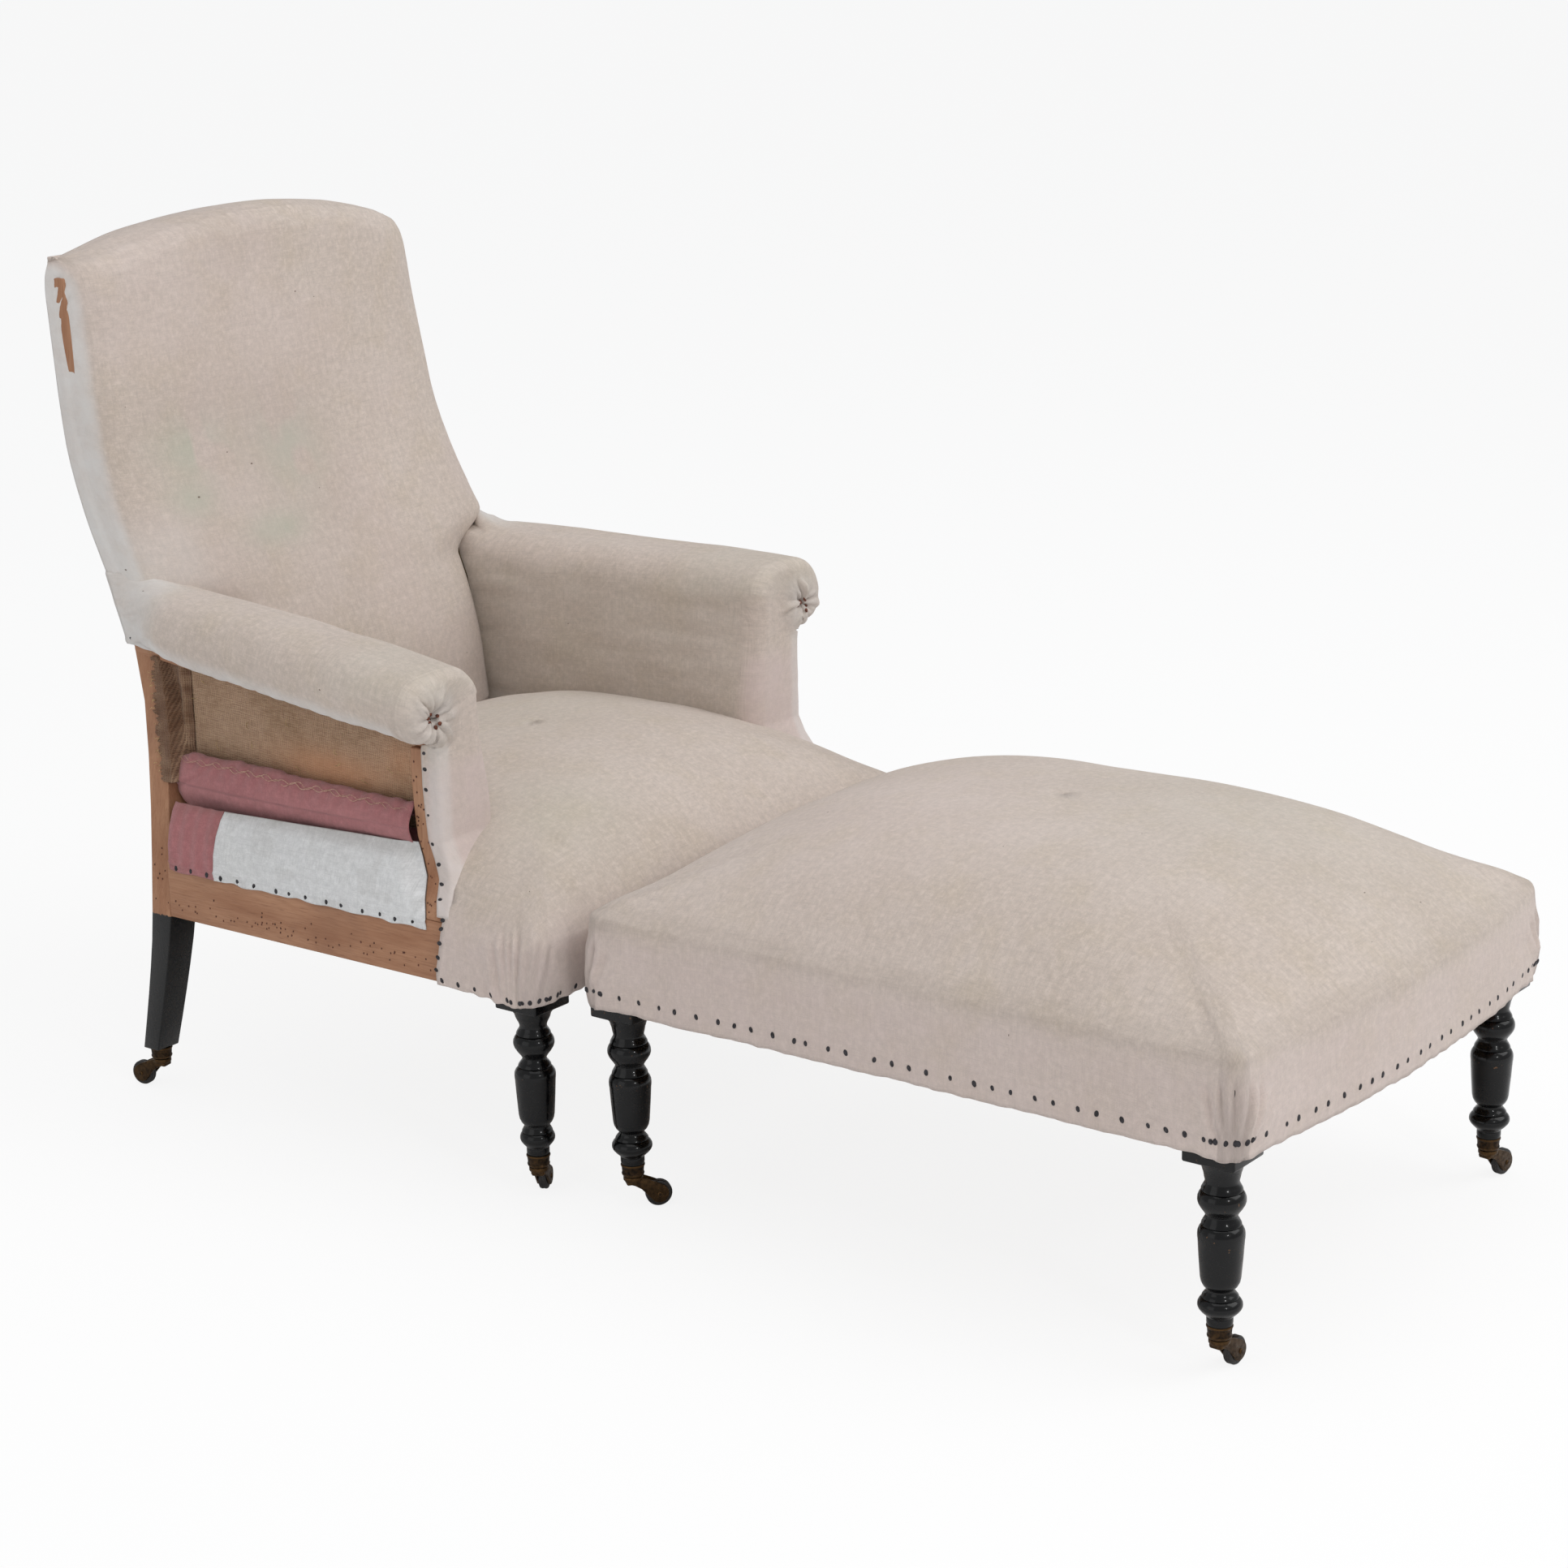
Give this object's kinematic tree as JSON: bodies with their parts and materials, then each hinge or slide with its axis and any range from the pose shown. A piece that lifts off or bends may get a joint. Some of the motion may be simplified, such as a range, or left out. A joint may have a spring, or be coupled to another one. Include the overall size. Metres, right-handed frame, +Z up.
{
  "type": "armchair_with_footstool",
  "caption": "Low upholstered armchair with its outer covers off, and its matching footstool, both on turned black legs with casters",
  "frame": {"origin": "on the floor below the middle of the whole set, armchair and footstool together", "axes": "+Z is up, the armchair faces -Y towards the footstool, and +X is the left hand of someone who sits in it"},
  "size_m": [0.7138, 1.5745, 0.965],
  "materials": {
    "cover_cloth": "plain-woven unbleached calico, soiled and matte",
    "white_calico": "white calico lining, matte",
    "brown_hessian": "coarse open-woven hessian with a pink ticking roll",
    "jute_webbing": "woven jute straps, matte",
    "spring_steel": "copper-coated spring wire",
    "bare_beech": "bare beech with old tack holes; legs ebonised below the rails",
    "ebonised_wood": "gloss black ebonised turnings with worn edges",
    "tarnished_brass": "dark tarnished brass",
    "caster_wheel": "dark worn brass wheel"
  },
  "bodies": {
    "chair": {"arm_pad_right": "cover_cloth", "arm_pad_left": "cover_cloth", "back_pad": "cover_cloth", "seat_pad": "cover_cloth", "side_calico_right": "white_calico", "side_calico_left": "white_calico", "side_hessian_right": "brown_hessian", "side_hessian_left": "brown_hessian", "seat_webbing": "jute_webbing", "back_webbing": "jute_webbing", "seat_springs": "spring_steel", "arm_rail_right": "bare_beech", "arm_rail_left": "bare_beech", "arm_stump_right": "bare_beech", "arm_stump_left": "bare_beech", "back_crest_rail": "bare_beech", "back_lower_rail": "bare_beech", "chair_front_rail": "bare_beech", "chair_rear_rail": "bare_beech", "chair_side_rail_right": "bare_beech", "chair_side_rail_left": "bare_beech", "chair_rear_leg_right": "bare_beech", "chair_rear_leg_left": "bare_beech", "chair_front_leg_right": "ebonised_wood", "chair_front_leg_left": "ebonised_wood", "chair_front_caster_right_socket": "tarnished_brass", "chair_front_caster_left_socket": "tarnished_brass", "chair_rear_caster_right_socket": "tarnished_brass", "chair_rear_caster_left_socket": "tarnished_brass"},
    "stool": {"stool_pad": "cover_cloth", "stool_webbing": "jute_webbing", "stool_springs": "spring_steel", "stool_front_rail": "bare_beech", "stool_rear_rail": "bare_beech", "stool_side_rail_right": "bare_beech", "stool_side_rail_left": "bare_beech", "stool_front_leg_right": "ebonised_wood", "stool_front_leg_left": "ebonised_wood", "stool_rear_leg_right": "ebonised_wood", "stool_rear_leg_left": "ebonised_wood", "stool_front_caster_right_socket": "tarnished_brass", "stool_front_caster_left_socket": "tarnished_brass", "stool_rear_caster_right_socket": "tarnished_brass", "stool_rear_caster_left_socket": "tarnished_brass"},
    "chair_front_caster_right_swivel": {"chair_front_caster_right_horn": "tarnished_brass"},
    "chair_front_caster_right_roller": {"chair_front_caster_right_wheel": "caster_wheel"},
    "chair_front_caster_left_swivel": {"chair_front_caster_left_horn": "tarnished_brass"},
    "chair_front_caster_left_roller": {"chair_front_caster_left_wheel": "caster_wheel"},
    "chair_rear_caster_right_swivel": {"chair_rear_caster_right_horn": "tarnished_brass"},
    "chair_rear_caster_right_roller": {"chair_rear_caster_right_wheel": "caster_wheel"},
    "chair_rear_caster_left_swivel": {"chair_rear_caster_left_horn": "tarnished_brass"},
    "chair_rear_caster_left_roller": {"chair_rear_caster_left_wheel": "caster_wheel"},
    "stool_rear_caster_right_swivel": {"stool_rear_caster_right_horn": "tarnished_brass"},
    "stool_rear_caster_right_roller": {"stool_rear_caster_right_wheel": "caster_wheel"},
    "stool_rear_caster_left_swivel": {"stool_rear_caster_left_horn": "tarnished_brass"},
    "stool_rear_caster_left_roller": {"stool_rear_caster_left_wheel": "caster_wheel"},
    "stool_front_caster_right_swivel": {"stool_front_caster_right_horn": "tarnished_brass"},
    "stool_front_caster_right_roller": {"stool_front_caster_right_wheel": "caster_wheel"},
    "stool_front_caster_left_swivel": {"stool_front_caster_left_horn": "tarnished_brass"},
    "stool_front_caster_left_roller": {"stool_front_caster_left_wheel": "caster_wheel"}
  },
  "joints": [
    {"name": "stool_pull_away", "type": "slide", "parent": "chair", "child": "stool", "axis": [0, -1, 0], "range_m": [0, 0.6]},
    {"name": "chair_front_caster_right_swivelling", "type": "hinge", "parent": "chair", "child": "chair_front_caster_right_swivel", "pos_m": [-0.3155, 0.0615, 0.0337], "axis": [0, 0, 1], "continuous": true},
    {"name": "chair_front_caster_right_rolling", "type": "hinge", "parent": "chair_front_caster_right_swivel", "child": "chair_front_caster_right_roller", "pos_m": [-0.29232, 0.07435, 0.014], "axis": [-0.4848, 0.8746, 0], "continuous": true},
    {"name": "chair_front_caster_left_swivelling", "type": "hinge", "parent": "chair", "child": "chair_front_caster_left_swivel", "pos_m": [0.3155, 0.0615, 0.0337], "axis": [0, 0, 1], "continuous": true},
    {"name": "chair_front_caster_left_rolling", "type": "hinge", "parent": "chair_front_caster_left_swivel", "child": "chair_front_caster_left_roller", "pos_m": [0.32794, 0.0849, 0.014], "axis": [-0.8829, 0.4695, 0], "continuous": true},
    {"name": "chair_rear_caster_right_swivelling", "type": "hinge", "parent": "chair", "child": "chair_rear_caster_right_swivel", "pos_m": [-0.30936, 0.63469, 0.0337], "axis": [0, 0, 1], "continuous": true},
    {"name": "chair_rear_caster_right_rolling", "type": "hinge", "parent": "chair_rear_caster_right_swivel", "child": "chair_rear_caster_right_roller", "pos_m": [-0.31396, 0.66079, 0.014], "axis": [-0.9848, -0.1736, 0], "continuous": true},
    {"name": "chair_rear_caster_left_swivelling", "type": "hinge", "parent": "chair", "child": "chair_rear_caster_left_swivel", "pos_m": [0.30936, 0.63469, 0.0337], "axis": [0, 0, 1], "continuous": true},
    {"name": "chair_rear_caster_left_rolling", "type": "hinge", "parent": "chair_rear_caster_left_swivel", "child": "chair_rear_caster_left_roller", "pos_m": [0.31666, 0.66016, 0.014], "axis": [-0.9613, 0.2756, 0], "continuous": true},
    {"name": "stool_rear_caster_right_swivelling", "type": "hinge", "parent": "stool", "child": "stool_rear_caster_right_swivel", "pos_m": [-0.2803, -0.037, 0.0337], "axis": [0, 0, 1], "continuous": true},
    {"name": "stool_rear_caster_right_rolling", "type": "hinge", "parent": "stool_rear_caster_right_swivel", "child": "stool_rear_caster_right_roller", "pos_m": [-0.25971, -0.05368, 0.014], "axis": [0.6293, 0.7771, 0], "continuous": true},
    {"name": "stool_rear_caster_left_swivelling", "type": "hinge", "parent": "stool", "child": "stool_rear_caster_left_swivel", "pos_m": [0.2803, -0.037, 0.0337], "axis": [0, 0, 1], "continuous": true},
    {"name": "stool_rear_caster_left_rolling", "type": "hinge", "parent": "stool_rear_caster_left_swivel", "child": "stool_rear_caster_left_roller", "pos_m": [0.30451, -0.04778, 0.014], "axis": [0.4067, 0.9135, 0], "continuous": true},
    {"name": "stool_front_caster_right_swivelling", "type": "hinge", "parent": "stool", "child": "stool_front_caster_right_swivel", "pos_m": [-0.2803, -0.732, 0.0337], "axis": [0, 0, 1], "continuous": true},
    {"name": "stool_front_caster_right_rolling", "type": "hinge", "parent": "stool_front_caster_right_swivel", "child": "stool_front_caster_right_roller", "pos_m": [-0.25382, -0.73293, 0.014], "axis": [0.0349, 0.9994, 0], "continuous": true},
    {"name": "stool_front_caster_left_swivelling", "type": "hinge", "parent": "stool", "child": "stool_front_caster_left_swivel", "pos_m": [0.2803, -0.732, 0.0337], "axis": [0, 0, 1], "continuous": true},
    {"name": "stool_front_caster_left_rolling", "type": "hinge", "parent": "stool_front_caster_left_swivel", "child": "stool_front_caster_left_roller", "pos_m": [0.30654, -0.73569, 0.014], "axis": [0.1392, 0.9903, 0], "continuous": true}
  ]
}
